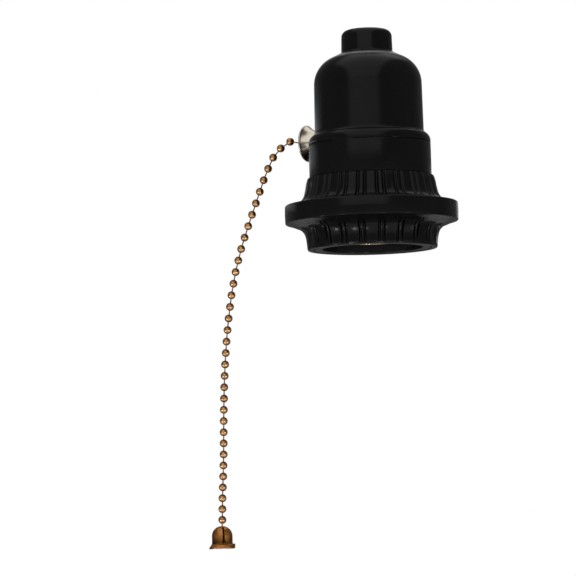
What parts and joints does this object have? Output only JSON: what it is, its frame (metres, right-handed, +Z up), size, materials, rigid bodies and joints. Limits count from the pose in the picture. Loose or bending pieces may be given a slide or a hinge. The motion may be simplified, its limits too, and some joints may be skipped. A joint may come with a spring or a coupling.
{
  "type": "pull-chain lampholder",
  "caption": "Screw lampholder with a switch worked by a ball chain: domed cap, skirt with a fluted shade ring, side bell-mouth guide, chain and bell pull.",
  "frame": {"origin": "centre of the top face of the neck, where the threaded lamp pipe enters", "axes": "+Z up along the lamp pipe, -X along the chain guide; the lamp's mouth faces -Z"},
  "size_m": [0.0936, 0.0572, 0.1685],
  "materials": {
    "black_phenolic": "moulded phenolic, satin gloss",
    "brown_phenolic": "moulded, matt",
    "porcelain": "unglazed white porcelain",
    "nylon": "natural nylon",
    "brass": "pressed brass",
    "shell_brass": "thin drawn brass",
    "antique_brass": "antiqued brass, dark in the hollows",
    "bell_brass": "dark antiqued sheet brass",
    "nickel": "warm nickel plate",
    "plated_steel": "zinc plated",
    "spring_steel": "oiled spring steel"
  },
  "bodies": {
    "holder": {"cap": "black_phenolic", "nipple_bush": "plated_steel", "skirt": "black_phenolic", "switch_base": "porcelain", "screw_shell": "shell_brass", "shell_rivets": "brass", "centre_rivet": "brass", "neutral_terminal": "brass", "line_terminal": "brass", "terminal_screws": "brass", "contact_line": "brass", "line_rivet": "brass", "contact_load": "brass", "switch_frame": "plated_steel", "frame_screws": "plated_steel", "detent_spring": "spring_steel", "detent_rivet": "plated_steel", "return_spring": "spring_steel", "chain_guide": "nickel"},
    "rotor": {"spindle": "plated_steel", "rotor": "brown_phenolic", "rotor_contact": "brass", "ratchet_wheel": "spring_steel"},
    "lever": {"pull_lever": "plated_steel", "lever_stud": "plated_steel", "pawl_pin": "plated_steel"},
    "pawl": {"pawl": "spring_steel"},
    "pull": {"chain_coupling": "nylon", "inner_chain": "antique_brass"},
    "chain": {"chain_beads": "antique_brass", "chain_links": "antique_brass", "bell_pull": "bell_brass"},
    "tongue": {"centre_contact": "brass"},
    "shade_ring": {"shade_ring": "black_phenolic"}
  },
  "joints": [
    {"name": "chain_pull", "type": "slide", "parent": "holder", "child": "pull", "axis": [-1, 0, 0], "range_m": [0, 0.00612], "stiffness_N_per_m": 300},
    {"name": "chain_swing", "type": "hinge", "parent": "pull", "child": "chain", "pos_m": [-0.0237, 0, -0.0355], "axis": [1, 0, 0], "range_deg": [-65, 65]},
    {"name": "lever_swing", "type": "hinge", "parent": "holder", "child": "lever", "pos_m": [-0.001, -0.0077, -0.034], "axis": [0, 0, 1], "range_deg": [0, 45]},
    {"name": "rotor_turn", "type": "hinge", "parent": "holder", "child": "rotor", "pos_m": [-0.001, -0.0077, -0.038], "axis": [0, 0, 1], "range_deg": [0, 45]},
    {"name": "pawl_lift", "type": "hinge", "parent": "lever", "child": "pawl", "pos_m": [0.00554, -0.00683, -0.037], "axis": [0, 0, -1], "range_deg": [0, 12], "stiffness_Nm_per_rad": 0.0002},
    {"name": "contact_flex", "type": "hinge", "parent": "holder", "child": "tongue", "pos_m": [-0.0038, 0, -0.0472], "axis": [0, -1, 0], "range_deg": [0, 10], "stiffness_Nm_per_rad": 0.02},
    {"name": "ring_travel", "type": "slide", "parent": "holder", "child": "shade_ring", "axis": [0, 0, -1], "range_m": [0, 0.016]}
  ],
  "couplings": [
    {"joint": "lever_swing", "follows": "chain_pull", "rad_per_m": 128.3},
    {"joint": "rotor_turn", "follows": "chain_pull", "rad_per_m": 128.3}
  ]
}
